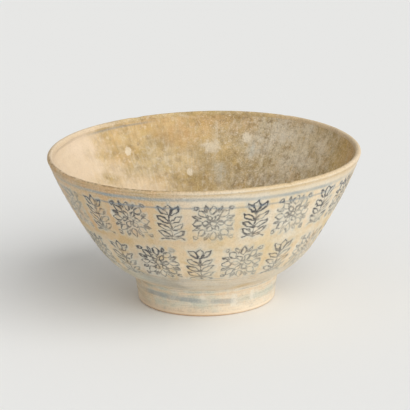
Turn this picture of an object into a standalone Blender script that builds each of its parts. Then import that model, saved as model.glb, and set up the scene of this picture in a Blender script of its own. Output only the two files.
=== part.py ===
"""A thrown porcelain bowl on a luted foot ring, with each glaze coat as a shell of its own."""

import math

import bmesh
import bpy
from mathutils import Vector
from mathutils.geometry import interpolate_bezier

# Outside of the bowl, in metres
RIM_DIAMETER = 0.150
HEIGHT = 0.0743
BELLY_DIAMETER = 0.1104
BELLY_HEIGHT = 0.0325
FOOT_TOP_DIAMETER = 0.0700
FOOT_BASE_DIAMETER = 0.0660
FOOT_HEIGHT = 0.0137

# Slopes of the wall from the horizontal, in degrees
LIP_SLOPE = 70.5
BELLY_SLOPE = 59.0
SHOULDER_SLOPE = 25.0
WELL_EDGE_SLOPE = 24.0
WELL_RING_SLOPE = 8.0
WELL_CENTRE_SLOPE = 0.0

# Thickness of the walls, glaze included
LIP_WIDTH = 0.0026
BELLY_WALL = 0.0046
SHOULDER_WALL = 0.0053
FLOOR_THICKNESS = 0.0064
FOOT_WIDTH = 0.0050
FOOT_SPLAY = 0.0015

# The stacking ring in the well, wide enough for the foot of the bowl fired above it
RING_MARGIN = 0.0015
RING_DROP = 0.0023
WELL_DROP = 0.0018

# Glaze coats and the bare clay that they leave
GLAZE = 0.0004
COAT_GAP = 0.00025
LIP_BARE = 0.0008
FOOT_BARE = 0.0022
FOOT_CHAMFER = 0.0006
BASE_DOME = 0.0008

# The luted joint between the foot ring and the bowl
JOINT_GAP = 0.0003

# Fineness of the turned shapes
TURN_STEPS = 72
UPPER_STEPS = 5
LOWER_STEPS = 4
WELL_STEPS = 2
LIP_STEPS = 4

# How far a curve's handles reach, as a share of its chord
HANDLE_REACH = 0.35

# A radius below this counts as on the axis, and points closer than this are one
ON_AXIS = 1e-7

COAT_DEPTH = GLAZE + COAT_GAP


def slope(degrees):
    """The direction that climbs outward at this angle from the horizontal."""
    angle = math.radians(degrees)
    return Vector((math.cos(angle), math.sin(angle)))


def curve(start, end, start_slope, end_slope, steps):
    """Points on a smooth curve that runs up from start to end, with the slope given at each."""
    reach = HANDLE_REACH * (end - start).length
    first_handle = start + reach * slope(start_slope)
    last_handle = end - reach * slope(end_slope)
    return interpolate_bezier(start, first_handle, last_handle, end, steps + 1)


def offset(line, distance):
    """The line moved to the left of its own direction, mitred at corners and where it meets the axis."""
    sides = []
    for here, there in zip(line, line[1:]):
        along = (there - here).normalized()
        sides.append(Vector((-along.y, along.x)))
    beyond = sides[-1].copy()
    if line[-1].x < ON_AXIS:
        beyond.x = -beyond.x
    moved = []
    for before, after, point in zip(sides[:1] + sides, sides + [beyond], line):
        mitre = (before + after) / (1.0 + before.dot(after))
        moved.append(point + distance * mitre)
    return moved


def material(name, colour, roughness):
    finish = bpy.data.materials.new(name)
    finish.use_nodes = True
    shader = finish.node_tree.nodes["Principled BSDF"]
    shader.inputs["Base Color"].default_value = (*colour, 1.0)
    shader.inputs["Roughness"].default_value = roughness
    shader.inputs["Metallic"].default_value = 0.0
    return finish


def turned(name, outline, finish, closed=True):
    """Turns an outline of radius and height round the vertical axis into one closed solid."""
    bm = bmesh.new()
    points = [bm.verts.new((point.x, 0.0, point.y)) for point in outline]
    pairs = list(zip(points, points[1:]))
    if closed:
        pairs.append((points[-1], points[0]))
    edges = [bm.edges.new(pair) for pair in pairs]
    bmesh.ops.spin(
        bm, geom=points + edges, cent=(0, 0, 0), axis=(0, 0, 1),
        angle=2 * math.pi, steps=TURN_STEPS, use_merge=True,
    )
    bmesh.ops.remove_doubles(bm, verts=bm.verts, dist=ON_AXIS)
    bmesh.ops.recalc_face_normals(bm, faces=bm.faces)
    mesh = bpy.data.meshes.new(name)
    bm.to_mesh(mesh)
    bm.free()
    mesh.shade_smooth()
    mesh.set_sharp_from_angle(angle=math.radians(35))
    mesh.materials.append(finish)
    piece = bpy.data.objects.new(name, mesh)
    bpy.context.scene.collection.objects.link(piece)
    return piece


def coat(line, distance):
    """The outline of a glaze coat whose face is the line and whose back lies that far from it."""
    return offset(line, distance)[::-1] + line


# Corners of the section, as radius and height
rim_radius = RIM_DIAMETER / 2
lip_edge_height = HEIGHT - LIP_WIDTH / 2
lip_outside = Vector((rim_radius, lip_edge_height))
lip_inside = Vector((rim_radius - LIP_WIDTH, lip_edge_height))
glaze_top_outside = lip_outside - LIP_BARE * slope(LIP_SLOPE)
glaze_top_inside = lip_inside - LIP_BARE * slope(LIP_SLOPE)

belly = Vector((BELLY_DIAMETER / 2, BELLY_HEIGHT))
inner_belly = belly + BELLY_WALL * slope(BELLY_SLOPE + 90)
crease = Vector((FOOT_TOP_DIAMETER / 2, FOOT_HEIGHT))

foot_outside = Vector((FOOT_BASE_DIAMETER / 2, 0.0))
foot_rise = (crease - foot_outside).normalized()
glaze_end_outside = foot_outside + FOOT_BARE * foot_rise

ring_outer_radius = FOOT_BASE_DIAMETER / 2 + RING_MARGIN
ring_inner_radius = FOOT_BASE_DIAMETER / 2 - FOOT_WIDTH - RING_MARGIN
well_edge = Vector((ring_outer_radius, FOOT_HEIGHT + SHOULDER_WALL))
ring_edge = Vector((ring_inner_radius, well_edge.y - RING_DROP))
well_centre = Vector((0.0, ring_edge.y - WELL_DROP))

foot_inside = Vector((FOOT_BASE_DIAMETER / 2 - FOOT_WIDTH, 0.0))
ceiling_height = well_centre.y - FLOOR_THICKNESS
recess_corner = Vector((foot_inside.x - FOOT_SPLAY, ceiling_height - BASE_DOME))
recess_rise = (recess_corner - foot_inside).normalized()
glaze_end_inside = foot_inside + FOOT_BARE * recess_rise
recess_centre = Vector((0.0, ceiling_height))

# Glazed faces of the section: down the outside, down the inside, and up into the foot's recess
upper_outside = curve(belly, glaze_top_outside, BELLY_SLOPE, LIP_SLOPE, UPPER_STEPS)
lower_outside = curve(crease, belly, SHOULDER_SLOPE, BELLY_SLOPE, LOWER_STEPS)
outside = (lower_outside + upper_outside[1:])[::-1] + [glaze_end_outside]

upper_inside = curve(inner_belly, glaze_top_inside, BELLY_SLOPE, LIP_SLOPE, UPPER_STEPS)
lower_inside = curve(well_edge, inner_belly, WELL_EDGE_SLOPE, BELLY_SLOPE, LOWER_STEPS)
bare_ring = curve(ring_edge, well_edge, WELL_RING_SLOPE, WELL_EDGE_SLOPE, WELL_STEPS)
inside = (lower_inside + upper_inside[1:])[::-1]
well = curve(well_centre, ring_edge, WELL_CENTRE_SLOPE, WELL_RING_SLOPE, WELL_STEPS)[::-1]

recess = [glaze_end_inside, recess_corner, recess_centre]

# Clay faces behind the coats
clay_outside = offset(outside, -COAT_DEPTH)
clay_inside = offset(inside + bare_ring[-2::-1] + well[1:], COAT_DEPTH)
clay_recess = offset(recess, -COAT_DEPTH)
clay_crease = clay_outside[-2]
spigot_radius = clay_recess[1].x


def lip():
    """The bare lip, rounded from its inside edge over to its outside edge."""
    middle = (lip_inside + lip_outside) / 2
    turns = [math.pi * step / LIP_STEPS for step in range(LIP_STEPS + 1)]
    return [middle - LIP_WIDTH / 2 * Vector((math.cos(turn), -math.sin(turn))) for turn in turns]


def bowl_body():
    """The thrown wall and floor, with shoulders that the coats end against below the lip."""
    inner_shoulder = glaze_top_inside + COAT_GAP * slope(LIP_SLOPE)
    outer_shoulder = glaze_top_outside + COAT_GAP * slope(LIP_SLOPE)
    into_clay = COAT_DEPTH * slope(LIP_SLOPE + 90)
    spigot_side = spigot_radius - JOINT_GAP
    outline = clay_inside[:0:-1]
    outline += [inner_shoulder - into_clay, inner_shoulder]
    outline += lip()
    outline += [outer_shoulder, outer_shoulder + into_clay]
    outline += clay_outside[1:-1]
    outline += [
        Vector((spigot_side, clay_crease.y)),
        Vector((spigot_side, clay_recess[1].y)),
        clay_recess[2],
    ]
    clay = material("porcelain_clay", (0.60, 0.46, 0.30), 0.70)
    return turned("bowl_body", outline, clay, closed=False)


def foot_ring():
    """The foot, seated flat under the bowl round the spigot that its floor leaves."""
    top = clay_crease.y - JOINT_GAP
    outer_top = clay_crease - JOINT_GAP / foot_rise.y * foot_rise
    outer_shoulder = glaze_end_outside - COAT_GAP * foot_rise
    inner_shoulder = glaze_end_inside - COAT_GAP * recess_rise
    into_outside = COAT_DEPTH * Vector((-foot_rise.y, foot_rise.x))
    into_inside = COAT_DEPTH * Vector((recess_rise.y, -recess_rise.x))
    outline = [
        outer_top,
        outer_shoulder + into_outside,
        outer_shoulder,
        foot_outside + FOOT_CHAMFER * foot_rise,
        foot_outside - Vector((FOOT_CHAMFER, 0.0)),
        foot_inside + Vector((FOOT_CHAMFER, 0.0)),
        foot_inside + FOOT_CHAMFER * recess_rise,
        inner_shoulder,
        inner_shoulder + into_inside,
        clay_recess[1],
        Vector((spigot_radius, top)),
    ]
    clay = material("bare_foot_clay", (0.55, 0.33, 0.16), 0.75)
    return turned("foot_ring", outline, clay)


def exterior_glaze():
    """The coat from below the lip down the wall, over the crease and down the foot."""
    glass = material("exterior_glaze", (0.60, 0.45, 0.25), 0.35)
    return turned("exterior_glaze", coat(outside, -GLAZE), glass)


def interior_glaze():
    """The coat inside, from below the lip to the bare stacking ring."""
    glass = material("interior_glaze", (0.45, 0.34, 0.18), 0.45)
    return turned("interior_glaze", coat(inside, GLAZE), glass)


def well_glaze():
    """The disc of glaze left in the well inside the stacking ring."""
    glass = material("well_glaze", (0.48, 0.37, 0.20), 0.45)
    return turned("well_glaze", coat(well, GLAZE), glass, closed=False)


def base_glaze():
    """The coat in the foot's recess, over the ring's inside and the floor's underside."""
    glass = material("base_glaze", (0.58, 0.46, 0.28), 0.40)
    return turned("base_glaze", coat(recess, -GLAZE), glass, closed=False)


for old in list(bpy.data.objects):
    bpy.data.objects.remove(old, do_unlink=True)

bowl_body()
foot_ring()
exterior_glaze()
interior_glaze()
well_glaze()
base_glaze()
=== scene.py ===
"""The looks of the porcelain bowl: hand-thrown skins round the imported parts, aged glaze and ornament."""

import math

import bmesh
import bpy
import numpy as np
from mathutils import Matrix, Vector, noise
from mathutils.geometry import interpolate_bezier


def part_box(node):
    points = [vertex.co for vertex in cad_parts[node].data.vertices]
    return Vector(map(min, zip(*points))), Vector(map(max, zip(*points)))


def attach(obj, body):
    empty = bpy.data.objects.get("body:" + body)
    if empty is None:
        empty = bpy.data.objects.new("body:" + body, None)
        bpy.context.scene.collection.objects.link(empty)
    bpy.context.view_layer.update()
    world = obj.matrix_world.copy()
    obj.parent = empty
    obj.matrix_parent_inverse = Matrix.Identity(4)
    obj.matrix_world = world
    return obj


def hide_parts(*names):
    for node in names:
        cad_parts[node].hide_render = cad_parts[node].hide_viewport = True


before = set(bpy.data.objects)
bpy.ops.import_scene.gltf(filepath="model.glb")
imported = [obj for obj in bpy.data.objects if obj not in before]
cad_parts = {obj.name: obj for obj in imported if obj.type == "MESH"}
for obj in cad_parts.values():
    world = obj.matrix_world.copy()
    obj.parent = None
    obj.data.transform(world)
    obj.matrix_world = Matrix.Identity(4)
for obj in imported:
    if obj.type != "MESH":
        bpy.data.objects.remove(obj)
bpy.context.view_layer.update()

# Camera, as fitted to the photograph's outline of the bowl
IMAGE_PIXELS = 410
FOCAL_PIXELS = 2200
SENSOR_MM = 36.0
CAMERA_DISTANCE = 1.063
CAMERA_ELEVATION = 16.68
CAMERA_PITCH = 16.14
CAMERA_ROLL = -1.16
AIM_HEIGHT = 0.035

# Light: a large soft window at the right of the front, and an even room
WINDOW_TURN = 46.0
WINDOW_RISE = 37.0
WINDOW_SPREAD = 75.0
WINDOW_STRENGTH = 2.3
ROOM_STRENGTH = 0.5
FLOOR_HALF = 4.0
FLOOR_ROUGHNESS = 0.9

# Meshes: segments round, spacing of points on glaze, clay and hidden backs, and what counts as a corner
SEGMENTS = 480
FACE_SPACING = 0.0008
CLAY_SPACING = 0.0016
HIDDEN_SPACING = 0.006
LEAST_STEPS = 2
CORNER_TURN = math.radians(50)
SHARP_TURN = math.radians(40)
NEAR = 1e-6
AXIS_NEAR = 1e-4
MM = 0.001

# Maps: angle and run for the patterns, and a margin round each quarter of a piece in the map for baking
PATTERN_MAP = "print"
BAKE_MARGIN = 0.01

# The clearance that the CAD model keeps round a coat of glaze, and the bare lip above it
COAT_GAP = 0.00025
LIP_BARE = 0.0008

RIM_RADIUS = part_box("bowl_body")[1].x
RIM_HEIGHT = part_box("bowl_body")[1].z

# How far the hand-thrown lip dips: its mean, and waves as count round the rim, depth and angle
LIP_DIP = 0.00086
LIP_WAVES = (
    (1, 0.00058, -36.0),
    (2, 0.00035, -83.0),
    (3, 0.00024, -37.0),
)

# Wear along the lip: its depth, the size of its unevenness and how far down it reaches
LIP_WEAR = 0.00012
WEAR_SIZE = 0.004
WEAR_REACH = 0.003

# Chips in the lip: angle from the front in degrees, width and depth
CHIPS = (
    (-58.0, 0.0022, 0.0003),
    (-33.0, 0.0014, 0.0002),
    (31.0, 0.0016, 0.0003),
    (146.0, 0.0016, 0.0002),
    (207.0, 0.0024, 0.0003),
)

# Relief of the glazed wall: throwing rings, lumps and ripples, how far it is sunk, and its fading ends
RING_DEPTH = 0.00005
RING_PITCH = 0.0046
RING_WANDER = 3.0
RING_WANDER_SIZE = 0.05
LUMP_DEPTH = 0.00016
LUMP_SIZE = 0.022
RIPPLE_DEPTH = 0.00005
RIPPLE_SIZE = 0.005
RELIEF_SINK = 0.0001
UPPER_FADE = 0.004
LOWER_FADE = 0.002

# Glaze pooled in the crease above the foot: depth and half width, and the share and size of its unevenness
POOL_DEPTH = 0.00042
POOL_HALF = 0.0011
POOL_UNEVEN = 0.5
POOL_UNEVEN_SIZE = 0.012

# Grain of the bare clay
GRAIN_DEPTH = 0.00004
GRAIN_SIZE = 0.0016


# Outlines of the CAD nodes

def section(node):
    """A CAD node's outline in the half plane through +X, as radius and height, and whether it is a loop."""
    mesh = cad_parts[node].data
    links = {}
    for edge in mesh.edges:
        ends = [mesh.vertices[index].co for index in edge.vertices]
        if any(abs(end.y) > NEAR or end.x < -NEAR for end in ends):
            continue
        first, last = [(round(end.x, 7), round(end.z, 7)) for end in ends]
        if first != last:
            links.setdefault(first, set()).add(last)
            links.setdefault(last, set()).add(first)
    start = min(links, key=lambda spot: (len(links[spot]), -spot[1]))
    loop = len(links[start]) > 1
    outline = [start]
    onward = sorted(links[start])
    while onward:
        outline.append(onward[0])
        onward = [spot for spot in sorted(links[outline[-1]]) if spot not in outline]
    return [Vector(spot) for spot in outline], loop


def steps_of(line):
    return [there - here for here, there in zip(line, line[1:])]


def runs_of(line):
    """The distance along the line at each of its points."""
    return np.cumsum([0.0] + [step.length for step in steps_of(line)])


def turns_of(line):
    """How sharply the line turns at each of its inner points."""
    steps = steps_of(line)
    return [before.angle(after) for before, after in zip(steps, steps[1:])]


def coat_face(node, faces_out):
    """The seen side of a glaze coat, from its outer end inward, and the coat's thickness.

    The shortest steps of a coat's outline are its two ends, or its one end where it reaches the axis.
    """
    outline, loop = section(node)
    if loop:
        lengths = [step.length for step in steps_of(outline + outline[:1])]
        cut = lengths.index(min(lengths)) + 1
        outline = outline[cut:] + outline[:cut]
    lengths = [step.length for step in steps_of(outline)]
    cut = lengths.index(min(lengths)) + 1
    sides = [outline[:cut], outline[cut:]]
    sides.sort(key=lambda side: sum(point.x - point.y for point in side))
    face = sides[1] if faces_out else sides[0]
    if face[0].x < face[-1].x:
        face = face[::-1]
    return face, min(lengths)


def smooth(line, spacing):
    """The line as a curve through its points, with its sharp corners kept."""
    corners = [index + 1 for index, turn in enumerate(turns_of(line)) if turn > CORNER_TURN]
    corners = [0] + corners + [len(line) - 1]
    dense = [line[0]]
    for first, last in zip(corners, corners[1:]):
        stretch = line[first:last + 1]
        ways = [step.normalized() for step in steps_of(stretch)]
        tangents = [(before + after).normalized() for before, after in zip(ways, ways[1:])]
        if tangents:
            tangents.insert(0, (2 * ways[0] - tangents[0]).normalized())
            tangents.append((2 * ways[-1] - tangents[-1]).normalized())
        else:
            tangents = [ways[0], ways[0]]
        for here, there, start, end in zip(stretch, stretch[1:], tangents, tangents[1:]):
            length = (there - here).length
            count = max(LEAST_STEPS, round(length / spacing))
            reach = length / 3
            dense += interpolate_bezier(here, here + reach * start, there - reach * end, there, count + 1)[1:]
    return dense


def left_of(line):
    """The mitred direction to the left of the line at each of its points."""
    ways = [step.normalized() for step in steps_of(line)]
    sides = [Vector((-way.y, way.x)) for way in ways]
    mitres = []
    for before, after in zip(sides[:1] + sides, sides + sides[-1:]):
        mitres.append((before + after) / (1.0 + before.dot(after)))
    return mitres


def offset(line, distance):
    return [point + distance * way for point, way in zip(line, left_of(line))]


# Hand-thrown shape

ANGLES = np.arange(SEGMENTS) * 2 * math.pi / SEGMENTS


def fade(values, low, high):
    """Rises smoothly from 0 at low to 1 at high."""
    share = np.clip((values - low) / (high - low), 0.0, 1.0)
    return share * share * (3.0 - 2.0 * share)


def turn_noise(size, seed):
    """Smooth noise round the bowl, between about -1 and 1, of the given size in metres at the rim."""
    reach = RIM_RADIUS / size
    spots = [Vector((reach * math.sin(angle), reach * math.cos(angle), seed)) for angle in ANGLES]
    return np.array([noise.noise(spot) for spot in spots])


def skin_noise(outline, size, seed):
    """Smooth noise over a turned surface, between about -1 and 1, of the given size in metres."""
    values = np.empty((len(outline), SEGMENTS))
    across = [(math.sin(angle), math.cos(angle)) for angle in ANGLES]
    for row, point in enumerate(outline):
        radius = point.x / size
        height = point.y / size + seed
        values[row] = [noise.noise(Vector((radius * s, radius * c, height))) for s, c in across]
    return values


def thrown(height):
    """Heights moved to where the hand and the years left them: an uneven, worn and chipped lip."""
    dip = LIP_DIP
    for count, depth, turn in LIP_WAVES:
        dip = dip + depth * np.cos(count * (ANGLES - math.radians(turn)))
    wear = LIP_WEAR * (1.0 + turn_noise(WEAR_SIZE, seed=3.0)) / 2
    for turn, width, depth in CHIPS:
        away = (ANGLES - math.radians(turn) + math.pi) % (2 * math.pi) - math.pi
        wear = wear + depth * np.exp(-(away * RIM_RADIUS / width) ** 2)
    share = np.clip(height / RIM_HEIGHT, 0.0, 1.0)
    near_lip = fade(height, RIM_HEIGHT - WEAR_REACH, RIM_HEIGHT)
    return np.maximum(height - np.maximum(dip, 0.0) * share ** 3 - wear * near_lip, 0.0)


def turned(name, outline, runs, loop, bumps, weights):
    """A closed mesh turned from an outline, with a map of angle and run and a map for baking.

    Bumps move the surface outward, and each step of the outline gets its weight's share of the baking map.
    """
    rings = len(outline)
    area = sum(a.x * b.y - b.x * a.y for a, b in zip(outline, outline[1:] + outline[:1]))
    outward = -1 if area > 0 else 1
    away = outward * np.array([tuple(way) for way in left_of(outline)])
    radius = np.array([point.x for point in outline])[:, None] + bumps * away[:, :1]
    height = thrown(np.array([point.y for point in outline])[:, None] + bumps * away[:, 1:])
    points = np.stack([radius * np.sin(ANGLES), -radius * np.cos(ANGLES), height], axis=-1)
    row = np.arange(rings if loop else rings - 1)[:, None] + np.zeros((1, SEGMENTS), int)
    column = np.arange(SEGMENTS)[None, :] + 0 * row
    rows = np.stack([row, row, row + 1, row + 1], axis=-1)
    columns = np.stack([column, column + 1, column + 1, column], axis=-1)
    if area < 0:
        rows = rows[:, :, ::-1]
        columns = columns[:, :, ::-1]
    rows = rows.reshape(-1, 4) % rings
    columns = columns.reshape(-1, 4)
    mesh = bpy.data.meshes.new(name)
    mesh.from_pydata(points.reshape(-1, 3).tolist(), [], (rows * SEGMENTS + columns % SEGMENTS).tolist())
    add_map(mesh, PATTERN_MAP, columns * 360.0 / SEGMENTS, runs[rows] / MM)
    quarter = columns.min(axis=1, keepdims=True) * 4 // SEGMENTS
    across = columns * 4.0 / SEGMENTS - quarter
    spread = np.cumsum(np.concatenate([[0.0], weights]))
    along = (spread / spread[-1])[rows]
    add_map(mesh, "OFBake", in_tile(quarter % 2, across), in_tile(quarter // 2, along))
    if not loop:
        close_on_axis(mesh)
    mesh.shade_smooth()
    mesh.set_sharp_from_angle(angle=SHARP_TURN)
    piece = bpy.data.objects.new(name, mesh)
    bpy.context.scene.collection.objects.link(piece)
    return piece


def add_map(mesh, name, across, along):
    layer = mesh.uv_layers.new(name=name)
    layer.data.foreach_set("uv", np.stack([across, along], axis=-1).astype(np.float32).reshape(-1))


def in_tile(tile, share):
    """A place in tile 0 or 1 of the two that lie side by side, inside the tile's margin."""
    return (tile + BAKE_MARGIN + (1.0 - 2 * BAKE_MARGIN) * share) / 2


def close_on_axis(mesh):
    """Draws each ring that lies on the axis together into one point."""
    bm = bmesh.new()
    bm.from_mesh(mesh)
    central = [vert for vert in bm.verts if math.hypot(vert.co.x, vert.co.y) < AXIS_NEAR]
    bmesh.ops.remove_doubles(bm, verts=central, dist=2 * AXIS_NEAR)
    bm.to_mesh(mesh)
    bm.free()


# Numbers and colours that vary over a surface

class Field:
    """A number, colour or place given by a node's output, with arithmetic that adds the nodes for it."""

    def __init__(self, tree, socket):
        self.tree = tree
        self.socket = socket

    def math(self, operation, *others, clamp=False):
        node = self.tree.nodes.new("ShaderNodeMath")
        node.operation = operation
        node.use_clamp = clamp
        for socket, value in zip(node.inputs, (self,) + others):
            feed(socket, value)
        return Field(self.tree, node.outputs[0])

    def __add__(self, other):
        return self.math("ADD", other)

    def __sub__(self, other):
        return self.math("SUBTRACT", other)

    def __mul__(self, other):
        return self.math("MULTIPLY", other)

    def __truediv__(self, other):
        return self.math("DIVIDE", other)

    def __abs__(self):
        return self.math("ABSOLUTE")

    def modulo(self, step):
        return self.math("FLOORED_MODULO", step)

    def wrapped(self, period):
        """The number less whole periods, from minus half a period to half a period."""
        return (self + period / 2).modulo(period) - period / 2

    def ramp(self, low, high, at_low, at_high):
        node = self.tree.nodes.new("ShaderNodeMapRange")
        node.interpolation_type = "SMOOTHSTEP"
        names = ("Value", "From Min", "From Max", "To Min", "To Max")
        for name, value in zip(names, (self, low, high, at_low, at_high)):
            feed(node.inputs[name], value)
        return Field(self.tree, node.outputs["Result"])

    def rising(self, low, high):
        """Rises smoothly from 0 where the number is low to 1 where it is high."""
        return self.ramp(low, high, 0.0, 1.0)

    def falling(self, low, high):
        """Falls smoothly from 1 where the number is low to 0 where it is high."""
        return self.ramp(low, high, 1.0, 0.0)

    def stripe(self, centre, half, soft):
        """1 within half of the centre, with soft edges."""
        return abs(self - centre).falling(half - soft, half + soft)


def feed(socket, value):
    if isinstance(value, Field):
        value.tree.links.new(value.socket, socket)
    else:
        socket.default_value = value


def length_of(x, y):
    return (x * x + y * y).math("SQRT")


def srgb(red, green, blue):
    """A colour as it looks, from 0 to 255, in the linear numbers that a shader takes."""
    return tuple(((v / 255 + 0.055) / 1.055) ** 2.4 for v in (red, green, blue)) + (1.0,)


# How far apart two noises lie whose seeds differ by one, and the size of the fine specks in millimetres
SEED_STEP = Vector((17.0, 31.0, 53.0))
SPECK_SIZE = 0.7


class Paint:
    """One material under construction: layers of colour, laid by patterns that read places on the surface.

    Places and sizes are in millimetres, turn is the angle from the front in degrees, rising to the right,
    and run is the distance along the turned outline, on the walls from the lip's edge down.
    """

    def __init__(self, name, colour):
        self.material = bpy.data.materials.new(name)
        self.material.use_nodes = True
        self.tree = self.material.node_tree
        self.shader = self.tree.nodes["Principled BSDF"]
        self.colour = colour
        object_place = Field(self.tree, self.tree.nodes.new("ShaderNodeTexCoord").outputs["Object"])
        self.place = self.vector("SCALE", object_place, Scale=1.0 / MM)
        self.x, self.y, self.height = self.split(self.place)
        self.radius = length_of(self.x, self.y)
        pattern = self.tree.nodes.new("ShaderNodeUVMap")
        pattern.uv_map = PATTERN_MAP
        self.turn, self.run, _ = self.split(Field(self.tree, pattern.outputs[0]))

    def vector(self, operation, *values, output="Vector", **named):
        node = self.tree.nodes.new("ShaderNodeVectorMath")
        node.operation = operation
        for socket, value in zip(node.inputs, values):
            feed(socket, value)
        for name, value in named.items():
            feed(node.inputs[name], value)
        return Field(self.tree, node.outputs[output])

    def split(self, place):
        node = self.tree.nodes.new("ShaderNodeSeparateXYZ")
        feed(node.inputs[0], place)
        return [Field(self.tree, output) for output in node.outputs]

    def join(self, x, y, z=0.0):
        node = self.tree.nodes.new("ShaderNodeCombineXYZ")
        for socket, value in zip(node.inputs, (x, y, z)):
            feed(socket, value)
        return Field(self.tree, node.outputs[0])

    def cloud(self, place, scale, seed, low, high, detail):
        """Noise over the place, from 0 where it is low to 1 where it is high."""
        node = self.tree.nodes.new("ShaderNodeTexNoise")
        feed(node.inputs["Vector"], self.vector("ADD", place, seed * SEED_STEP))
        node.inputs["Scale"].default_value = scale
        node.inputs["Detail"].default_value = detail
        return Field(self.tree, node.outputs["Fac"]).rising(low, high)

    def mottle(self, size, seed, low=0.35, high=0.65, detail=3.0):
        """Cloudy noise of the given size in millimetres, from 0 to 1."""
        return self.cloud(self.place, 1.0 / size, seed, low, high, detail)

    def streaks(self, across, along, seed, low=0.35, high=0.65):
        """Noise drawn out round the bowl or down its wall, with its sizes in millimetres."""
        round_place = self.vector("SCALE", self.join(self.x, self.y), Scale=self.radius.math("POWER", -1.0))
        reach = RIM_RADIUS / MM / across
        x, y, _ = self.split(self.vector("SCALE", round_place, Scale=reach))
        return self.cloud(self.join(x, y, self.run / along), 1.0, seed, low, high, 3.0)

    def shake(self, size, seed, reach):
        """Smooth noise of the given size, from -reach to reach."""
        return self.mottle(size, seed, 0.2, 0.8, 1.0) * (2.0 * reach) - reach

    def chance(self, number):
        """A steady random number from 0 to 1 for each whole number."""
        node = self.tree.nodes.new("ShaderNodeTexWhiteNoise")
        node.noise_dimensions = "1D"
        feed(node.inputs["W"], number)
        return Field(self.tree, node.outputs["Value"])

    def blend(self, share, first, second):
        """A number between two numbers."""
        node = self.tree.nodes.new("ShaderNodeMix")
        for index, value in ((0, share), (2, first), (3, second)):
            feed(node.inputs[index], value)
        return Field(self.tree, node.outputs[0])

    def layer(self, colour, share):
        """Lays a colour over what is there, as thickly as the share says."""
        node = self.tree.nodes.new("ShaderNodeMix")
        node.data_type = "RGBA"
        for index, value in ((0, share), (6, self.colour), (7, colour)):
            feed(node.inputs[index], value)
        self.colour = Field(self.tree, node.outputs[2])

    def grain(self, seed, strength):
        """Fine dark and light specks over what is there."""
        self.layer(DARK_SPECK, self.mottle(SPECK_SIZE, seed, 0.5, 0.25, 2.0) * strength)
        self.layer(LIGHT_SPECK, self.mottle(SPECK_SIZE, seed, 0.5, 0.75, 2.0) * strength)

    def sector(self, middle, half, soft):
        """1 within half an angle of the middle, in degrees from the front, with soft ends."""
        return abs((self.turn - middle).wrapped(360.0)).falling(half - soft, half + soft)

    def patch(self, turn, run, across, along, soft, ragged):
        """1 inside an oval at that angle and run, with half sizes in millimetres and a soft, ragged edge."""
        away = (self.turn - turn).wrapped(360.0) * self.radius * (math.radians(1.0) / across)
        down = (self.run - run) / along
        return (length_of(away, down) + ragged).falling(1.0 - soft, 1.0 + soft)

    def finish(self, roughness, bump, strength, depth):
        """The finished material, with its roughness and a bump of that strength and depth."""
        feed(self.shader.inputs["Base Color"], self.colour)
        feed(self.shader.inputs["Roughness"], roughness)
        node = self.tree.nodes.new("ShaderNodeBump")
        node.inputs["Strength"].default_value = strength
        node.inputs["Distance"].default_value = depth * MM
        feed(node.inputs["Height"], bump)
        self.tree.links.new(node.outputs["Normal"], self.shader.inputs["Normal"])
        return self.material


# Printed ornament: places in millimetres from a motif's middle, with y down and one half mirrored

# Two rows of motifs: count, turn of one of them and run of their middles, and the run between the rows
UPPER_COUNT = 22
UPPER_TURN = 3.0
UPPER_MIDDLE = 17.4
LOWER_COUNT = 18
LOWER_TURN = 17.2
LOWER_MIDDLE = 44.6
ROWS_PART = 30.0

# Start of the motifs' random numbers, chosen by the weight of ink in the photo, and the lower row's step
PRINT_SEED = 14462.25
LOWER_SEED = 64.0

# Strokes of a hand stamp: half width, its variation and soft edge, shaking, and how unevenly motifs sit
STROKE_HALF = 0.41
STROKE_VARIES = 0.2
STROKE_SOFT = 0.30
SHAKE_SIZE = 3.0
SHAKE_REACH = 0.5
MOTIF_UNEVEN = 1.2

# Weight of the ink: the least, what luck adds, what a sprig has over a rosette, and its fall across a motif
LEAST_INK = 0.56
LUCK_INK = 0.5
SPRIG_INK = 0.12
MOTIF_REACH = 13.0
UPPER_LEFT_INK = 1.05
LOWER_RIGHT_INK = 0.62

# Rosette: rings of petals as count, inner and outer reach, half width and turn, then curls at its corners
ROSETTE_HEIGHT = 1.13
ROSETTE_PETALS = (
    (6, 1.7, 5.0, 1.1, 0.0),
    (8, 4.8, 9.4, 1.5, 0.0),
    (8, 6.6, 9.9, 0.55, 22.5),
)
ROSETTE_RINGS = (((0.0, 0.0), 1.4), ((8.1, -9.0), 0.9), ((8.1, 9.0), 0.9))

# Sprig: a bud and pairs of leaves as base, tip and half width, on a stem with a curled root
SPRIG_LEAVES = (
    ((0.0, -4.4), (0.0, -10.9), 1.7),
    ((0.5, -4.4), (5.0, -9.6), 1.15),
    ((0.3, 0.4), (5.9, -3.6), 1.2),
    ((0.3, 4.9), (6.0, 0.9), 1.2),
    ((0.3, 9.2), (5.8, 5.4), 1.15),
)
SPRIG_STROKES = (
    ((0.0, -4.4), (0.0, 10.6)),
    ((0.0, 10.6), (3.4, 9.7)),
    ((3.4, 9.7), (5.2, 10.7)),
)


def stroke(paint, place, start, end, swell=0.0):
    """Distance from a straight stroke, or from the outline of a leaf that swells between the two ends."""
    way = Vector(end) - Vector(start)
    reach = way / way.length_squared
    away = paint.vector("SUBTRACT", place, (*start, 0.0))
    share = paint.vector("DOT_PRODUCT", away, (*reach, 0.0), output="Value").math("ADD", 0.0, clamp=True)
    along = paint.vector("SCALE", (*way, 0.0), Scale=share)
    distance = paint.vector("DISTANCE", away, along, output="Value")
    return abs(distance - share * (share * -1.0 + 1.0) * (4.0 * swell)) if swell else distance


def ring(paint, place, centre, radius):
    return abs(paint.vector("DISTANCE", place, (*centre, 0.0), output="Value") - radius)


def nearest(distances):
    closest = distances[0]
    for distance in distances[1:]:
        closest = closest.math("MINIMUM", distance)
    return closest


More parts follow.
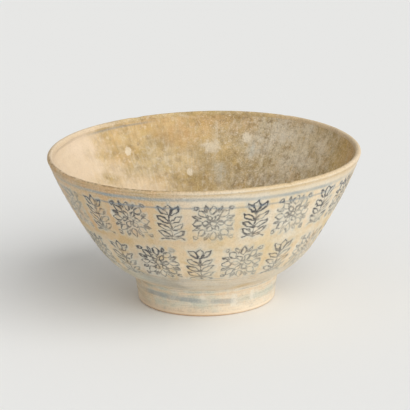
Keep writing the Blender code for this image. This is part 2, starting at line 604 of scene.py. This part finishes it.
def sprig(paint, place):
    marks = [stroke(paint, place, base, tip, half) for base, tip, half in SPRIG_LEAVES]
    marks += [stroke(paint, place, start, end) for start, end in SPRIG_STROKES]
    return nearest(marks)


def rosette(paint, place):
    x, y, _ = paint.split(place)
    y = y / ROSETTE_HEIGHT
    reach = length_of(x, y)
    angle = y.math("ARCTAN2", x)
    marks = [ring(paint, place, centre, radius) for centre, radius in ROSETTE_RINGS]
    for count, inner, outer, half, turn in ROSETTE_PETALS:
        folded = (angle - math.radians(turn)).wrapped(2 * math.pi / count)
        petal = paint.join(reach * folded.math("COSINE"), reach * folded.math("SINE"))
        marks.append(stroke(paint, petal, (inner, 0.0), (outer, 0.0), half))
    return nearest(marks)


def print_rows(paint):
    """The distance from the nearest printed stroke, how heavily it is inked, and the wash round it."""
    low = paint.run.math("GREATER_THAN", ROWS_PART)
    count = paint.blend(low, UPPER_COUNT, LOWER_COUNT)
    first = paint.blend(low, UPPER_TURN, LOWER_TURN)
    middle = paint.blend(low, UPPER_MIDDLE, LOWER_MIDDLE)
    cells = (paint.turn - first) * count / 360.0
    cell = cells.math("ROUND")
    luck = paint.chance(cell.modulo(count) + low * LOWER_SEED + PRINT_SEED)
    across = (cells - cell) / count * paint.radius * (2 * math.pi) + paint.shake(SHAKE_SIZE, 4, SHAKE_REACH)
    down = paint.run - middle + paint.shake(SHAKE_SIZE, 5, SHAKE_REACH) + (luck - 0.5) * MOTIF_UNEVEN
    place = paint.join(abs(across), down)
    leafy = abs(cell).modulo(2.0)
    distance = paint.blend(leafy, rosette(paint, place), sprig(paint, place))
    pressed = (across + down).ramp(-MOTIF_REACH, MOTIF_REACH, UPPER_LEFT_INK, LOWER_RIGHT_INK)
    pooled = paint.mottle(1.3, 38) * 0.4 + 0.8
    heavy = (luck * LUCK_INK + leafy * SPRIG_INK + LEAST_INK) * pressed * pooled
    wash = down.falling(-11.0, -1.0) * luck
    return distance, heavy, wash


# Colours of the aged surface

CREAM = srgb(236, 216, 184)
ORANGE = srgb(231, 197, 151)
YELLOW = srgb(220, 199, 152)
OCHRE = srgb(206, 172, 104)
PALE = srgb(231, 223, 206)
CHALK = srgb(223, 211, 189)
CELADON = srgb(198, 202, 186)
GREY_BLUE = srgb(120, 135, 146)
PALE_BLUE = srgb(152, 162, 163)
HALO = srgb(206, 205, 192)
INK = srgb(47, 47, 55)
SOIL = srgb(140, 116, 82)
RUST = srgb(216, 168, 116)
TAN = srgb(204, 177, 132)
WORN = srgb(186, 156, 112)
FOOT = srgb(240, 223, 197)
OLIVE = srgb(174, 149, 97)
MOSS = srgb(146, 123, 74)
SAND = srgb(215, 187, 134)
AMBER = srgb(208, 166, 106)
LIME = srgb(214, 202, 174)
PEACH = srgb(231, 210, 183)
BONE = srgb(230, 218, 194)
UMBER = srgb(126, 100, 62)
GOLD = srgb(198, 168, 98)
SMOKE = srgb(217, 210, 195)
DARK_SPECK = srgb(82, 68, 46)
LIGHT_SPECK = srgb(250, 233, 202)

# Outside, the print ends at a run of about 56, the crease is near 73 and the coat of glaze ends at 85

# How far the two lines under the lip and the band round the foot come down at the right
FIRST_LINE_DROP = 1.8
SECOND_LINE_DROP = 1.0
FOOT_BAND_DROP = 2.2

# Scuffs outside: turn and run, and half sizes across and along
SCUFFS = (
    (-7.0, 2.8, 0.9, 0.8),
    (-37.5, 15.0, 1.5, 2.4),
    (-11.5, 23.0, 1.2, 2.6),
    (47.5, 41.0, 1.0, 4.0),
    (-3.5, 77.5, 1.3, 1.6),
    (22.0, 79.5, 1.6, 3.4),
    (39.0, 78.0, 1.0, 3.6),
    (118.0, 20.0, 2.2, 1.4),
    (205.0, 47.0, 1.6, 3.0),
)

# Pale scars inside: strength, turn and run, half sizes, and the softness of their edges
SCARS = (
    (0.65, 215.0, 15.0, 1.7, 2.3, 0.2),
    (0.65, 187.5, 30.0, 1.4, 2.2, 0.2),
    (0.65, 176.5, 17.0, 4.2, 3.0, 0.4),
    (0.9, 161.0, 11.5, 2.4, 2.6, 0.4),
    (0.4, 150.0, 15.0, 0.6, 6.0, 0.6),
    (0.3, 174.5, 8.5, 0.9, 5.0, 0.6),
    (0.3, 147.5, 6.5, 5.0, 3.0, 0.8),
    (0.35, 132.0, 10.0, 1.2, 9.0, 0.6),
    (0.4, 122.5, 9.5, 3.4, 3.0, 0.7),
    (0.5, 125.0, 19.5, 3.4, 2.6, 0.7),
)

# Clouds in the stain inside: colour, and then the same terms, with the peach ones apart
CLOUDS = (
    (AMBER, 0.6, 185.0, 5.0, 26.0, 7.0, 0.6),
    (AMBER, 0.35, 220.0, 8.0, 14.0, 8.0, 0.6),
    (AMBER, 0.7, 191.0, 12.0, 9.0, 6.0, 0.6),
    (AMBER, 0.6, 161.0, 4.0, 6.0, 5.0, 0.6),
    (AMBER, 0.6, 140.0, 1.5, 7.0, 2.0, 0.6),
    (AMBER, 0.8, 101.0, 4.0, 12.0, 8.0, 0.6),
    (GOLD, 0.95, 105.0, 11.0, 9.0, 14.0, 0.6),
    (SAND, 0.7, 130.0, 7.0, 16.0, 12.0, 0.7),
    (GOLD, 0.5, 166.0, 21.0, 10.0, 6.0, 0.7),
    (MOSS, 0.35, 200.0, 12.0, 17.0, 6.0, 0.7),
    (MOSS, 0.6, 152.0, 32.0, 20.0, 7.0, 0.6),
    (MOSS, 0.55, 173.0, 25.0, 9.0, 7.0, 0.6),
    (MOSS, 0.4, 190.0, 34.0, 9.0, 5.0, 0.6),
    (MOSS, 0.35, 114.0, 5.0, 8.0, 6.0, 0.6),
    (MOSS, 0.5, 182.5, 19.0, 6.0, 3.6, 0.6),
    (MOSS, 0.6, 160.0, 30.0, 6.0, 4.0, 0.6),
    (MOSS, 0.5, 125.0, 6.0, 5.0, 4.0, 0.6),
    (LIME, 0.6, 143.0, 11.0, 26.0, 14.0, 0.7),
    (LIME, 0.55, 128.0, 14.0, 18.0, 18.0, 0.7),
    (LIME, 0.5, 140.0, 17.5, 12.0, 6.0, 0.7),
    (LIME, 0.3, 196.0, 24.0, 20.0, 6.0, 0.7),
    (SMOKE, 0.8, 146.0, 8.0, 10.0, 7.0, 0.7),
    (SMOKE, 0.6, 133.0, 3.0, 6.0, 3.0, 0.6),
    (SMOKE, 0.6, 121.5, 11.0, 4.0, 4.0, 0.6),
    (SMOKE, 0.7, 130.0, 19.5, 5.0, 4.0, 0.6),
    (SMOKE, 0.5, 137.0, 25.0, 7.0, 5.0, 0.7),
    (SMOKE, 0.7, 155.0, 15.5, 5.0, 6.0, 0.6),
    (SMOKE, 0.5, 146.0, 33.0, 13.0, 4.0, 0.7),
    (SAND, 0.7, 169.0, 18.0, 5.0, 4.0, 0.6),
    (HALO, 0.95, 158.5, 18.0, 2.4, 4.0, 0.6),
    (HALO, 0.7, 172.5, 31.0, 3.6, 5.0, 0.7),
)
PEACH_CLOUDS = (
    (0.82, 268.0, 9.0, 45.0, 25.0, 0.3),
    (0.7, 240.0, 4.0, 12.0, 6.0, 0.6),
    (0.6, 226.0, 38.0, 24.0, 10.0, 0.6),
)

# Stains in the crease above the foot: colour, and then the same terms
CREASE_STAINS = (
    (WORN, 0.8, -62.0, 72.3, 9.0, 3.0, 0.6),
    (OCHRE, 0.5, 25.0, 69.5, 4.5, 2.6, 0.7),
    (WORN, 0.5, 150.0, 71.0, 9.0, 3.0, 0.6),
)


def worn_side(paint, soft=22.0):
    """1 at the left of the front, where the lip is worn most."""
    return paint.sector(-48.0, 42.0, soft)


def ground(paint):
    """Aged cream outside, with clouds, a tan lip edge, a pale middle and a browned and worn left side."""
    left = worn_side(paint)
    paint.layer(ORANGE, paint.mottle(16, 1, 0.42, 0.64) * 0.55)
    paint.layer(YELLOW, paint.mottle(28, 2, 0.42, 0.68) * 0.65)
    paint.layer(PALE, paint.mottle(11, 3, 0.4, 0.62) * 0.65)
    paint.layer(OCHRE, paint.mottle(8, 37, 0.46, 0.66) * (left * 0.45 + 0.35))
    paint.layer(TAN, paint.mottle(1.6, 6, detail=4) * 0.22)
    paint.layer(TAN, paint.run.falling(1.0, 4.0) * 0.3)
    paint.layer(CHALK, paint.sector(26.0, 48.0, 22.0) * paint.run.stripe(3.8, 2.2, 1.4) * 0.55)
    paint.layer(TAN, paint.sector(34.0, 36.0, 16.0) * paint.run.falling(0.8, 2.6) * 0.6)
    paint.layer(TAN, left * paint.run.falling(26.0, 48.0) * 0.7)
    paint.layer(WORN, left * paint.run.falling(1.5, 6.0) * 0.35)
    paint.layer(MOSS, left * paint.run.falling(2.5, 8.0) * paint.streaks(16.0, 0.45, 65, 0.42, 0.6) * 0.3)
    paint.layer(CHALK, left * paint.run.falling(2.5, 8.0) * paint.streaks(12.0, 0.4, 66, 0.48, 0.62) * 0.3)
    paint.layer(RUST, left * paint.run.falling(24.0, 38.0) * paint.mottle(8, 24) * 0.45)
    paint.layer(PALE, paint.sector(4.0, 14.0, 8.0) * paint.run.stripe(5.0, 3.5, 1.5) * 0.45)
    paint.layer(PALE, paint.sector(1.0, 13.0, 9.0) * paint.run.stripe(16.0, 9.0, 5.0) * 0.28)


def stained(paint):
    """Stains of long use inside: sandy, amber, gold and pale clouds on olive, with brown and pale flecks."""
    paint.layer(SAND, paint.mottle(9, 41, 0.34, 0.68, 8) * 0.85)
    paint.layer(AMBER, paint.mottle(14, 42, 0.5, 0.72, 7) * 0.45)
    paint.layer(GOLD, paint.mottle(7, 60, 0.48, 0.64, 5) * 0.4)
    paint.layer(LIME, paint.mottle(7, 43, 0.5, 0.68, 6) * 0.3)
    paint.layer(UMBER, paint.mottle(3.2, 44, 0.48, 0.68, 5) * 0.45)
    paint.layer(BONE, paint.mottle(2.2, 45, 0.5, 0.68, 5) * 0.36)


def lower_wall(paint, trimmed, tool_marks):
    """The wall below the print: paler low down as painted floor bounce light, streaks of trimming, and stains
    in the crease.
    """
    # Painted light: this pale layer lightens the lower wall, which faces the floor, in place of light bounced
    # up from it
    paint.layer(PALE, paint.run.rising(54.0, 62.0) * 0.3)
    paint.layer(SOIL, tool_marks * 0.33)
    paint.layer(PALE, trimmed * paint.streaks(50.0, 0.8, 27) * 0.5)
    ragged = paint.shake(5.0, 28, 0.4)
    for colour, strength, turn, run, across, along, soft in CREASE_STAINS:
        paint.layer(colour, paint.patch(turn, run, across, along, soft, ragged) * strength)
    paint.layer(CELADON, paint.sector(-44.0, 18.0, 10.0) * paint.run.stripe(61.0, 4.0, 3.0) * 0.5)
    paint.layer(CREAM, paint.sector(-36.0, 14.0, 8.0) * paint.run.stripe(69.5, 2.6, 1.5) * 0.6)


def glazed_foot(paint):
    """Chalky glaze over the foot, with orange, pale and celadon clouds, tan at the far left and streaked."""
    foot = paint.run.rising(72.0, 73.5)
    paint.layer(CHALK, foot * 0.6)
    paint.layer(ORANGE, foot * paint.mottle(6, 35, 0.42, 0.65) * 0.4)
    paint.layer(PALE, foot * paint.mottle(3.2, 30, 0.42, 0.65) * 0.45)
    paint.layer(CELADON, foot * paint.sector(-22.0, 34.0, 14.0) * paint.mottle(6, 29) * 0.75)
    paint.layer(TAN, foot * paint.sector(-82.0, 26.0, 14.0) * 0.45)
    paint.layer(CELADON, paint.patch(52.0, 79.5, 11.0, 1.8, 0.6, paint.shake(4.0, 36, 0.3)) * 0.7)
    paint.layer(SOIL, foot * paint.streaks(26.0, 0.5, 63, 0.45, 0.65) * 0.2)
    paint.layer(PALE, foot * paint.streaks(30.0, 0.7, 64, 0.45, 0.65) * 0.4)


def scuffs(paint):
    ragged = paint.shake(2.0, 19, 0.35)
    for turn, run, across, along in SCUFFS:
        paint.layer(PALE, paint.patch(turn, run, across, along, 0.3, ragged) * 0.7)


def ornament(paint):
    """The printed rows: a pale halo and a grey-blue wash round the strokes, and the ink over them."""
    distance, heavy, wash = print_rows(paint)
    paint.layer(GREY_BLUE, paint.patch(-33.0, 47.0, 9.0, 10.0, 0.7, 0.0) * 0.24)
    paint.layer(HALO, distance.falling(0.3, 2.2) * paint.mottle(7, 8, 0.25, 0.55) * 0.65)
    paint.layer(GREY_BLUE, distance.falling(0.3, 1.7) * wash * paint.mottle(3.0, 39) * 0.6)
    half = paint.mottle(2.4, 9) * (2 * STROKE_VARIES) + (STROKE_HALF - STROKE_VARIES)
    ink = (distance - half).falling(-STROKE_SOFT, STROKE_SOFT)
    paint.layer(INK, (ink * heavy).math("MINIMUM", 0.95) * paint.mottle(5, 7, 0.2, 0.5))


def brush_lines(paint):
    """Faded lines under the lip, round the lower wall and round the foot, which sway and break off."""
    sway = paint.run + paint.shake(24, 10, 0.4)
    streak = paint.mottle(9, 11, 0.25, 0.7)
    # How clearly the lines under the lip, the band round the foot and the wash above it show round the bowl
    behind = paint.sector(175.0, 95.0, 30.0) * 0.6
    clear = paint.sector(-44.0, 22.0, 14.0) * 0.35 + paint.sector(6.0, 48.0, 14.0) * 0.6 + behind + 0.15
    banded = paint.sector(-31.0, 27.0, 6.0) * 0.5 + paint.sector(12.0, 9.0, 3.0) * 0.35 + behind + 0.08
    washed = paint.sector(-25.0, 15.0, 6.0) * 0.65 + 0.1
    lower = paint.turn.rising(4.0, 22.0) * paint.turn.falling(100.0, 330.0)
    slant = paint.sector(60.0, 66.0, 42.0) * FOOT_BAND_DROP
    first = (sway - lower * FIRST_LINE_DROP).stripe(3.4, 0.9, 0.8)
    second = (sway - lower * SECOND_LINE_DROP).stripe(8.3, 0.5, 0.5)
    paint.layer(PALE_BLUE, first * (streak * 0.5 + 0.65) * clear)
    stripes = (
        second * (streak * 0.5 + 0.35) * clear,
        sway.stripe(63.0, 8.0, 4.0) * washed * (paint.mottle(14, 12) * 0.35 + 0.15),
        sway.stripe(56.4, 0.3, 0.4) * streak * 0.4,
        sway.stripe(58.2, 0.25, 0.35) * streak * 0.25,
        sway.stripe(74.0, 0.3, 0.3) * streak * 0.45,
        (sway - slant).stripe(77.5, 1.2, 0.6) * banded * (paint.mottle(9, 13) * 0.3 + 0.6),
    )
    for marks in stripes:
        paint.layer(GREY_BLUE, marks)


def worn_edges(paint):
    """Soil in the crease, orange and bare clay at the foot, and specks, most of them at the worn lip."""
    left_foot = paint.sector(-34.0, 44.0, 22.0)
    paint.layer(SOIL, paint.run.stripe(72.6, 0.25, 0.45) * paint.mottle(5, 14) * (left_foot * 0.4 + 0.35))
    paint.layer(ORANGE, paint.run.stripe(75.5, 0.5, 0.5) * paint.mottle(10, 21) * 0.5)
    paint.layer(FOOT, paint.run.rising(81.0, 84.4) * paint.mottle(4, 22, 0.3, 0.6) * 0.7)
    paint.layer(RUST, paint.run.rising(82.0, 85.0) * (left_foot * 0.2 + 0.03))
    worn_lip = worn_side(paint) * paint.run.falling(3.0, 9.0)
    paint.grain(25, worn_lip * 0.2 + 0.17)


def exterior_paint():
    paint = Paint("aged_exterior_glaze", CREAM)
    trimmed = paint.run.stripe(64.0, 8.0, 3.0)
    tool_marks = trimmed * paint.streaks(60.0, 0.45, 26)
    ground(paint)
    lower_wall(paint, trimmed, tool_marks)
    glazed_foot(paint)
    scuffs(paint)
    ornament(paint)
    brush_lines(paint)
    worn_edges(paint)
    pits = paint.mottle(0.9, 16, detail=2) * 0.5 + paint.mottle(3.0, 17) * 0.5 + tool_marks
    return paint.finish(paint.mottle(6, 18) * 0.15 + 0.45, pits, strength=0.25, depth=0.08)


def stained_finish(paint):
    return paint.finish(paint.mottle(5, 47) * 0.2 + 0.5, paint.mottle(0.8, 46), strength=0.3, depth=0.1)


def interior_paint():
    """Stained glaze inside: streaked, clouded and scarred, paler and greyer at the right as painted bounce
    light over its stains, and peach at the left.
    """
    paint = Paint("stained_interior_glaze", OLIVE)
    stained(paint)
    paint.layer(LIME, paint.streaks(1.5, 10.0, 52, 0.5, 0.7) * 0.36)
    paint.layer(UMBER, paint.streaks(1.4, 6.0, 54, 0.5, 0.7) * 0.22)
    right = paint.sector(138.0, 30.0, 18.0)
    paint.layer(MOSS, right * paint.mottle(6.0, 58, 0.44, 0.62, 8) * 0.45)
    # Painted light: this pale lime layer lightens the shaded right wall in place of light bounced into it
    paint.layer(LIME, right * paint.mottle(5.0, 59, 0.44, 0.62, 8) * 0.6)
    ragged = paint.shake(9.0, 48, 0.3)
    grainy = paint.mottle(4, 49, 0.25, 0.7, 9) * 0.6 + paint.streaks(2.0, 14.0, 55) * 0.4
    for colour, strength, turn, run, across, along, soft in CLOUDS:
        paint.layer(colour, paint.patch(turn, run, across, along, soft, ragged) * grainy * strength)
    for strength, turn, run, across, along, soft in PEACH_CLOUDS:
        paint.layer(PEACH, paint.patch(turn, run, across, along, soft, ragged * 0.6) * strength)
    paint.layer(UMBER, right * paint.mottle(2.6, 67, 0.5, 0.64, 5) * 0.35)
    paint.layer(BONE, right * paint.mottle(2.2, 68, 0.5, 0.66, 5) * 0.5)
    worn = paint.shake(2.5, 50, 0.35)
    for strength, turn, run, across, along, soft in SCARS:
        paint.layer(BONE, paint.patch(turn, run, across, along, soft, worn) * strength)
    left_rim = paint.sector(236.0, 32.0, 12.0) * paint.run.falling(1.0, 3.6)
    paint.layer(SOIL, left_rim * paint.streaks(18.0, 1.0, 62) * 0.4)
    right_back = paint.sector(158.0, 24.0, 12.0) * paint.run.falling(12.0, 22.0)
    paint.layer(BONE, right_back * paint.mottle(1.1, 56, 0.64, 0.72, 1.0) * 0.8)
    paint.layer(UMBER, right_back * paint.run.stripe(2.2, 1.2, 0.8) * paint.mottle(2.4, 57, 0.5, 0.65) * 0.5)
    paint.layer(GREY_BLUE, paint.run.stripe(2.0, 0.5, 0.5) * paint.sector(217.0, 14.0, 6.0) * 0.4)
    paint.grain(53, paint.turn.ramp(145.0, 210.0, 0.36, 0.12))
    return stained_finish(paint)


def well_paint():
    paint = Paint("stained_well_glaze", OLIVE)
    stained(paint)
    paint.grain(53, 0.3)
    return stained_finish(paint)


def clay_paint():
    """Bare clay, with worn remains of both glazes over the lip and a broken brown line along it."""
    paint = Paint("bare_worn_clay", CREAM)
    ground(paint)
    outside = paint.colour
    paint.colour = OLIVE
    stained(paint)
    paint.layer(PEACH, paint.sector(266.0, 46.0, 14.0) * 0.8)
    inside = paint.colour
    paint.colour = TAN
    paint.layer(CREAM, paint.mottle(3.0, 31) * 0.6)
    paint.layer(inside, paint.run.rising(-7.0, -5.0) * 0.85)
    paint.layer(outside, paint.run.rising(-0.5, 0.9))
    worn = worn_side(paint, soft=20.0) * 0.6 + 0.15
    paint.layer(UMBER, paint.run.stripe(0.3, 0.7, 0.6) * paint.mottle(1.3, 32, 0.4, 0.6) * worn)
    paint.layer(PEACH, paint.sector(100.0, 45.0, 20.0) * 0.45)
    paint.grain(33, 0.25)
    return paint.finish(0.65, paint.mottle(0.8, 34, detail=4), strength=0.4, depth=0.12)


def foot_paint():
    """Bare clay at the resting edge, fired orange low down and mostly at the left."""
    paint = Paint("bare_foot_clay", FOOT)
    left = paint.sector(-40.0, 55.0, 25.0)
    low = paint.height.falling(0.3, 1.2)
    paint.layer(RUST, left * 0.2)
    paint.layer(RUST, low * (left * 0.3 + 0.3))
    paint.layer(SOIL, low * paint.mottle(1.5, 52, 0.45, 0.65) * 0.15)
    return paint.finish(0.8, paint.mottle(0.8, 53, detail=4), strength=0.5, depth=0.15)


def base_paint():
    paint = Paint("base_glaze", PALE)
    paint.layer(CREAM, paint.mottle(12, 61))
    paint.layer(TAN, paint.mottle(4, 62, 0.55, 0.7) * 0.6)
    paint.layer(SOIL, paint.mottle(0.8, 63, 0.6, 0.7) * 0.5)
    return paint.finish(0.45, paint.mottle(1.0, 64), strength=0.25, depth=0.08)


# Pieces

def dress(piece, paint, node):
    piece.data.materials.append(paint)
    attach(piece, "root")
    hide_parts(node)


def wall_bumps(face):
    """Throwing rings, soft lumps and glaze pooled in a sharp crease, as heights over the face."""
    run = runs_of(face)[:, None]
    wander = RING_WANDER * turn_noise(RING_WANDER_SIZE, seed=1.0)
    rings = RING_DEPTH * np.sin(2 * math.pi * run / RING_PITCH + ANGLES + wander)
    lumps = LUMP_DEPTH * skin_noise(face, LUMP_SIZE, seed=2.0)
    lumps = lumps + RIPPLE_DEPTH * skin_noise(face, RIPPLE_SIZE, seed=7.0)
    relief = rings + lumps - RELIEF_SINK
    bumps = relief * fade(run, 0.0, UPPER_FADE) * fade(run[-1] - run, 0.0, LOWER_FADE)
    turns = turns_of(face)
    if max(turns) > CORNER_TURN:
        crease = run[turns.index(max(turns)) + 1]
        uneven = 1.0 + POOL_UNEVEN * turn_noise(POOL_UNEVEN_SIZE, seed=5.0)
        bumps = bumps + POOL_DEPTH * np.exp(-((run - crease) / POOL_HALF) ** 2) * uneven
    return bumps


def wall_coat(name, node, faces_out, paint):
    """A coat on the wall: its face drawn fine, its back on the clay, its ends against their shoulders."""
    face, thickness = coat_face(node, faces_out)
    face[0] = face[0] + COAT_GAP * (face[0] - face[1]).normalized()
    face[-1] = face[-1] + COAT_GAP * (face[-1] - face[-2]).normalized()
    inward = -1 if faces_out else 1
    fine = smooth(face, FACE_SPACING)
    back = offset(smooth(face, HIDDEN_SPACING), inward * (thickness + COAT_GAP))[::-1]
    bumps = np.concatenate([wall_bumps(fine), np.zeros((len(back), SEGMENTS))])
    runs = LIP_BARE - COAT_GAP + np.concatenate([runs_of(fine), runs_of(fine)[-1] - runs_of(back)])
    weights = np.concatenate([np.diff(runs_of(fine)), np.full(len(back), FACE_SPACING)])
    piece = turned(name, fine + back, runs, True, bumps, weights)
    dress(piece, paint, node)


def disc_coat(name, node, faces_out, paint):
    """A coat that covers a disc round the axis."""
    face, thickness = coat_face(node, faces_out)
    inward = -1 if faces_out else 1
    fine = smooth(face, FACE_SPACING)
    back = offset(smooth(face, HIDDEN_SPACING), inward * (thickness + COAT_GAP))[::-1]
    back[0].x = 0.0
    runs = np.concatenate([runs_of(fine)[-1] - runs_of(back), runs_of(fine)])
    weights = np.concatenate([np.full(len(back), FACE_SPACING), np.diff(runs_of(fine))])
    piece = turned(name, back + fine, runs, False, np.zeros((len(runs), SEGMENTS)), weights)
    dress(piece, paint, node)


def clay_piece(name, node, paint):
    """A piece of clay, a hair inside its CAD solid, with runs counted outward from its highest point."""
    outline, loop = section(node)
    fine = smooth(outline + outline[:1] if loop else outline, CLAY_SPACING)
    fine = fine[:-1] if loop else fine
    bumps = GRAIN_DEPTH * skin_noise(fine, GRAIN_SIZE, seed=11.0) - GRAIN_DEPTH
    if not loop:
        bumps[0] = 0.0
        bumps[-1] = 0.0
    runs = runs_of(fine)
    top = max(range(len(fine)), key=lambda index: fine[index].y)
    piece = turned(name, fine, runs - runs[top], loop, bumps, np.diff(runs))
    dress(piece, paint, node)


# Camera, floor and light

FLOOR_GREY = srgb(238, 238, 236)


def camera():
    data = bpy.data.cameras.new("camera")
    data.sensor_fit = "HORIZONTAL"
    data.sensor_width = SENSOR_MM
    data.lens = SENSOR_MM * FOCAL_PIXELS / IMAGE_PIXELS
    eye = bpy.data.objects.new("camera", data)
    bpy.context.scene.collection.objects.link(eye)
    rise = math.radians(CAMERA_ELEVATION)
    place = Vector((0.0, -CAMERA_DISTANCE * math.cos(rise), AIM_HEIGHT + CAMERA_DISTANCE * math.sin(rise)))
    tilt = Matrix.Rotation(math.radians(90 - CAMERA_PITCH), 4, "X")
    roll = Matrix.Rotation(math.radians(CAMERA_ROLL), 4, "Z")
    eye.matrix_world = Matrix.Translation(place) @ tilt @ roll
    bpy.context.scene.camera = eye


def floor():
    mesh = bpy.data.meshes.new("floor")
    corners = [(-1, -1), (1, -1), (1, 1), (-1, 1)]
    mesh.from_pydata([(FLOOR_HALF * x, FLOOR_HALF * y, 0.0) for x, y in corners], [], [(0, 1, 2, 3)])
    piece = bpy.data.objects.new("floor", mesh)
    bpy.context.scene.collection.objects.link(piece)
    finish = bpy.data.materials.new("floor")
    finish.use_nodes = True
    shader = finish.node_tree.nodes["Principled BSDF"]
    shader.inputs["Base Color"].default_value = FLOOR_GREY
    shader.inputs["Roughness"].default_value = FLOOR_ROUGHNESS
    mesh.materials.append(finish)


def lights():
    world = bpy.data.worlds.new("room")
    world.use_nodes = True
    shade = world.node_tree.nodes["Background"]
    shade.inputs["Color"].default_value = (1.0, 1.0, 1.0, 1.0)
    shade.inputs["Strength"].default_value = ROOM_STRENGTH
    bpy.context.scene.world = world
    data = bpy.data.lights.new("window", "SUN")
    data.energy = WINDOW_STRENGTH
    data.angle = math.radians(WINDOW_SPREAD)
    lamp = bpy.data.objects.new("window", data)
    turn = math.radians(WINDOW_TURN)
    rise = math.radians(WINDOW_RISE)
    toward = Vector((math.sin(turn) * math.cos(rise), -math.cos(turn) * math.cos(rise), math.sin(rise)))
    lamp.rotation_euler = (-toward).to_track_quat("-Z", "Y").to_euler()
    bpy.context.scene.collection.objects.link(lamp)


wall_coat("exterior_glaze_skin", "exterior_glaze", True, exterior_paint())
wall_coat("interior_glaze_skin", "interior_glaze", False, interior_paint())
disc_coat("well_glaze_skin", "well_glaze", False, well_paint())
disc_coat("base_glaze_skin", "base_glaze", True, base_paint())
clay_piece("clay_bowl", "bowl_body", clay_paint())
clay_piece("clay_foot", "foot_ring", foot_paint())
camera()
floor()
lights()
bpy.context.scene.view_settings.view_transform = "Standard"
